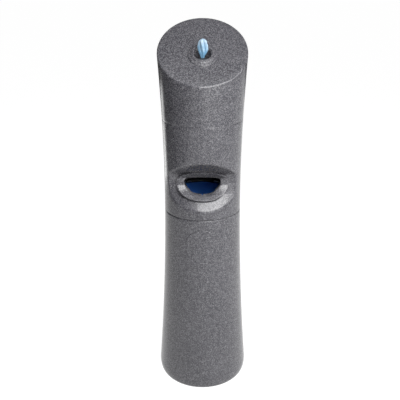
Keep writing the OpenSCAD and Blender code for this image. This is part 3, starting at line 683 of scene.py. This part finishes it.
def slant(v):
    """Moves a point of the upright lid to its place in the slanted one."""
    r = math.hypot(v.x, v.y)
    angle = math.atan2(v.x, -v.y)
    below = TOP_Z - v.z
    if r < OUTLET_TUBE_R + 0.6:
        slope = 1 - ease((below - 6) / (OUTLET_TUBE_H - 8))
        y = v.y - OUTLET_FRONT
        return Vector((v.x, y, OUTLET_Z - below + slope * TOP_SLOPE * (y + OUTLET_FRONT)))
    shift = OUTLET_FRONT * (1 - ease((r - 42) / 56))
    upright_h = TOP_Z - LID_EDGE_H - LID_SEAM_Z
    z = v.z
    # The radius depends on the height it ends up at, so it is worked out in rounds
    for _ in range(8):
        scale = outside_r(z) / outside_r(v.z) if v.z < TOP_Z + 0.1 else outside_r(z) / RIM_R
        scale = 1 + (scale - 1) * ease((r - 60) / 50)
        x, y = r * scale * math.sin(angle), -r * scale * math.cos(angle) - shift
        plane = RIM_Z + TOP_SLOPE * y
        if below < LID_EDGE_H:
            z = plane - below
        else:
            z = LID_SEAM_Z + (v.z - LID_SEAM_Z) * (plane - LID_EDGE_H - LID_SEAM_Z) / upright_h
        z = min(z, TOP_Z)
    return Vector((x, y, z))


def lid_shell():
    """The lid, turned upright with the outlet in its middle, then slanted; the lock's pad last."""
    under = WALL / math.cos(math.radians(TOP_SLOPE_DEG))
    outside = skin(heights(LID_SEAM_Z, TOP_Z - LID_EDGE_H, 8))
    profile = outside + [
        (RIM_R, TOP_Z), (104, TOP_Z), (86, TOP_Z), (66, TOP_Z), (50, TOP_Z),
        *[(r, TOP_Z + up) for r, up in OUTLET_STEPS],
    ]
    bore = [(OUTLET_R, z) for z in heights(TOP_Z, TOP_Z - OUTLET_TUBE_H, 6)]
    tube = [(OUTLET_TUBE_R, z) for z in heights(TOP_Z - OUTLET_TUBE_H, TOP_Z - under, 6)]
    ceiling = [(r, TOP_Z - under) for r in (40, 56, 72, 88, 102, RIM_R - WALL)]
    inside = skin(heights(TOP_Z - LID_EDGE_H, LID_SEAM_Z, 10), WALL)
    profile += bore + tube + ceiling + inside
    rim = len(outside)
    first_step = rim + 5
    rounds = (
        (0, 0.8, 3), (rim, 4.2, 8),
        *[(first_step + i, 0.45, 3) for i in range(1, len(OUTLET_STEPS) - 1)],
    )
    bm = turned(profile, ((360, 240),), 0, rounds)
    for v in bm.verts:
        v.co = slant(v.co)
    bmesh.ops.recalc_face_normals(bm, faces=bm.faces)
    at = outside_r(LOCK_Z)
    pad = rod(LOCK_PAD_R, at - WALL - 1.8, at + 1.2, z=LOCK_Z, sides=64, round_by=0.8)
    bm = cut(bm, pad, "UNION")
    return cut(bm, rod(BARREL_HOLE_R, at - 12, at + 20, z=LOCK_Z))


piece("lid_moulding", lid_shell(), "lid", GRANITE, ["lid_shell"])


def outlet_nozzle():
    """The dark domed nozzle, with a rolled lip round its hole."""
    stem_r, edge_z, top_z = OUTLET_R - 0.1, OUTLET_Z - 16, OUTLET_Z - 6
    tube_z = OUTLET_Z - OUTLET_TUBE_H
    hole_r, skirt_r, wall = 6.0, 24, 1.8

    def dome(r):
        return edge_z + (top_z - edge_z) * math.sqrt(1 - (r / (stem_r + 0.5)) ** 2)

    radii = heights(stem_r, hole_r, 1.2)
    profile = [
        (stem_r - wall, tube_z - 3), (skirt_r, tube_z - 3), (skirt_r, tube_z), (stem_r, tube_z),
    ]
    profile += [(r, dome(r)) for r in radii]
    profile += [(max(r - wall, hole_r), dome(r) - wall) for r in reversed(radii)]
    bm = turned(profile, ((360, 96),), 0, ((1, 0.6, 2), (2, 0.6, 2), (4, 0.6, 3)))
    bmesh.ops.translate(bm, vec=(0, -OUTLET_FRONT, 0), verts=bm.verts)
    return bm


piece("outlet_nozzle_dome", outlet_nozzle(), "lid", BLACK, ["outlet_nozzle"])


def wipe():
    """The drawn-up wipe: one sheet rolled into folds, tight in the nozzle and open above it.

    A vertex attribute is 1 along the folds' edges, where the finish paints a paler highlight.
    """
    neck_z, below, above = OUTLET_Z - 5, 38.0, 44.5
    around, rows, neck = 132, 96, 5.0
    side = 2 * math.pi / 5
    # Half the wipe's width by how far up it is, as a share of the part above the neck
    spread = (
        (0, neck), (0.08, 6.4), (0.23, 10.0), (0.43, 14.2), (0.6, 14.7), (0.84, 11.6), (0.92, 8.6),
        (0.97, 5.2), (1, 0.8),
    )
    bm = bmesh.new()
    ridge_highlight_mask = bm.verts.layers.float.new("ridge_highlight_mask")
    bmesh.ops.create_grid(bm, x_segments=around, y_segments=rows, size=0.5)
    for v in bm.verts:
        s, t = v.co.x + 0.5, v.co.y + 0.5
        turn = 2 * math.pi * (s * 1.16) + 0.7
        h = -below + t * (below + above)
        up = max(h, 0) / above
        half_w = between(spread, up)
        opening = min(half_w / 14.9, 1.0)
        grow = 0.985 - 0.17 * s
        corner = (turn + 0.9 * up) % side - side / 2
        facet = math.cos(side / 2) / math.cos(corner)
        pleat = 1 - 0.34 * max(0, 1 - abs(corner) / 0.16) * min(1, 3 * up)
        small = noise.noise(Vector((1.6 * math.cos(turn), 1.6 * math.sin(turn), 4 * up + 3)))
        fold = facet * 1.1 * pleat + 0.10 * small * opening
        half_t = half_w * (1 - 0.45 * min(1, 2.2 * up))
        # Mask for the painted highlight along the folds' edges
        v[ridge_highlight_mask] = min(1.0, abs(corner) / (side / 2)) ** 2 * min(1, 2.5 * up)
        if h <= 0:
            fold = 1 - 0.2 * max(0, 1 - abs(corner) / 0.3)
        x = half_w * fold * grow * math.cos(turn) + 1.2 * math.sin(2.6 * up) + 0.8 * ease(h / 20)
        y = half_t * fold * grow * math.sin(turn)
        v.co = (x, y - OUTLET_FRONT, neck_z + h)
    return bm


tail = piece("wipe_sheet", wipe(), "lid", WIPE, ["wipe_tail"], 180)
shell = tail.modifiers.new("thickness", "SOLIDIFY")
shell.thickness, shell.offset = 0.0003, 0

# ---- Pieces that keep their CAD shape ---------------------------------------------------

KEPT = {
    "ballast_weight": IRON, "ballast_bolts": ZINC, "rubber_feet": RUBBER, "waste_bin": BIN_BLUE,
    "bin_bail": ZINC, "bail_grip": BLACK, "collar_screws": ZINC, "tub_cradle": CRADLE,
    "lock_catch": ZINC, "catch_rivets": ZINC, "wipes_tub": WHITE, "wipes_roll": ROLL,
    "tub_cap": BLACK, "cap_nozzle": WHITE, "nozzle_ring": BLACK, "lock_barrel": CHROME,
    "lock_nut": ZINC, "key_plug": CHROME, "lock_cam": ZINC, "cam_screw": ZINC,
    "lower_body": GRANITE, "head_shell": GRANITE, "mouth_collar": GRANITE, "lid_shell": GRANITE,
    "outlet_nozzle": BLACK, "wipe_tail": WIPE,
}
for node, finish in KEPT.items():
    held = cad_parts[node]
    held.data.materials.clear()
    held.data.materials.append(finish)

# ---- Studio -----------------------------------------------------------------------------

PAPER_WHITE, SWEEP_R = 0.985, 60
# The floor ends nearer on the left, which keeps that side of the upper shells dark
FLOOR_REACH, FLOOR_LEFT = 4.0, 1.62


def studio_paper(name, bm, lights_piece):
    """A lit white surface. One that doesn't light the piece is only seen behind it."""
    made = as_object(name, bm)
    f = Finish(
        name + "_white", Base_Color=rgb(0.15, 0.15, 0.15), Roughness=0.9, Specular_IOR_Level=0.0,
        Emission_Strength=PAPER_WHITE)
    f.shader.inputs["Emission Color"].default_value = rgb(1, 1, 1)
    made.data.materials.append(f.material)
    made.visible_diffuse = made.visible_glossy = lights_piece


floor_bm = bmesh.new()
bmesh.ops.create_grid(
    floor_bm, x_segments=1, y_segments=1, size=1,
    matrix=Matrix.Translation(((FLOOR_REACH - FLOOR_LEFT) / 2, 0, 0))
    @ Matrix.Diagonal(((FLOOR_REACH + FLOOR_LEFT) / 2, FLOOR_REACH, 1, 1)))
studio_paper("studio_floor", floor_bm, True)

# A dome of the same white behind it, closed just under the floor
sweep_bm = bmesh.new()
bmesh.ops.create_uvsphere(sweep_bm, u_segments=64, v_segments=32, radius=SWEEP_R)
bmesh.ops.bisect_plane(
    sweep_bm, geom=sweep_bm.verts[:] + sweep_bm.edges[:] + sweep_bm.faces[:], dist=0.001,
    plane_co=(0, 0, -0.002), plane_no=(0, 0, 1), clear_inner=True)
bmesh.ops.holes_fill(sweep_bm, edges=[e for e in sweep_bm.edges if e.is_boundary])
bmesh.ops.recalc_face_normals(sweep_bm, faces=sweep_bm.faces)
studio_paper("studio_sweep", sweep_bm, False)

world = bpy.data.worlds.new("studio")
bpy.context.scene.world = world
world.use_nodes = True
background = world.node_tree.nodes["Background"]
background.inputs["Color"].default_value = rgb(1, 1, 1)
background.inputs["Strength"].default_value = 0.05


def soft_box(name, azimuth, elevation, distance, size, power, aim=(0, 0, 0.7)):
    """An area light at an azimuth to the right of the front and an elevation, aimed at a point."""
    a, e = math.radians(azimuth), math.radians(elevation)
    aim = Vector(aim)
    lamp = bpy.data.lights.new(name, "AREA")
    lamp.shape, lamp.energy = "RECTANGLE", power
    lamp.size, lamp.size_y = size
    made = bpy.data.objects.new(name, lamp)
    made.visible_camera = False
    out = Vector((math.sin(a) * math.cos(e), -math.cos(a) * math.cos(e), math.sin(e)))
    made.location = aim + out * distance
    made.rotation_euler = out.to_track_quat("Z", "Y").to_euler()
    bpy.context.scene.collection.objects.link(made)


soft_box("key", 21, 42, 1.9, (1.46, 1.15), 56)
soft_box("side", 75, 24, 2.0, (1.5, 1.2), 28)
soft_box("front", 25, 4, 1.9, (1.6, 0.9), 13)
soft_box("overhead", 0, 80, 1.4, (1.2, 1.2), 6, (0, 0, 0.9))
soft_box("strip", -138, 0, 1.3, (0.4, 0.45), 1.3, (0, 0, 0.40))
bpy.context.scene.view_settings.view_transform = "Standard"

camera = bpy.data.cameras.new("camera")
camera.lens, camera.sensor_width = 48.55, 36
camera.shift_x = -0.0062
view = bpy.data.objects.new("camera", camera)
view.location = (0, -1.398, 1.090)
view.rotation_euler = (math.radians(68.64), 0, 0)
bpy.context.scene.collection.objects.link(view)
bpy.context.scene.camera = view
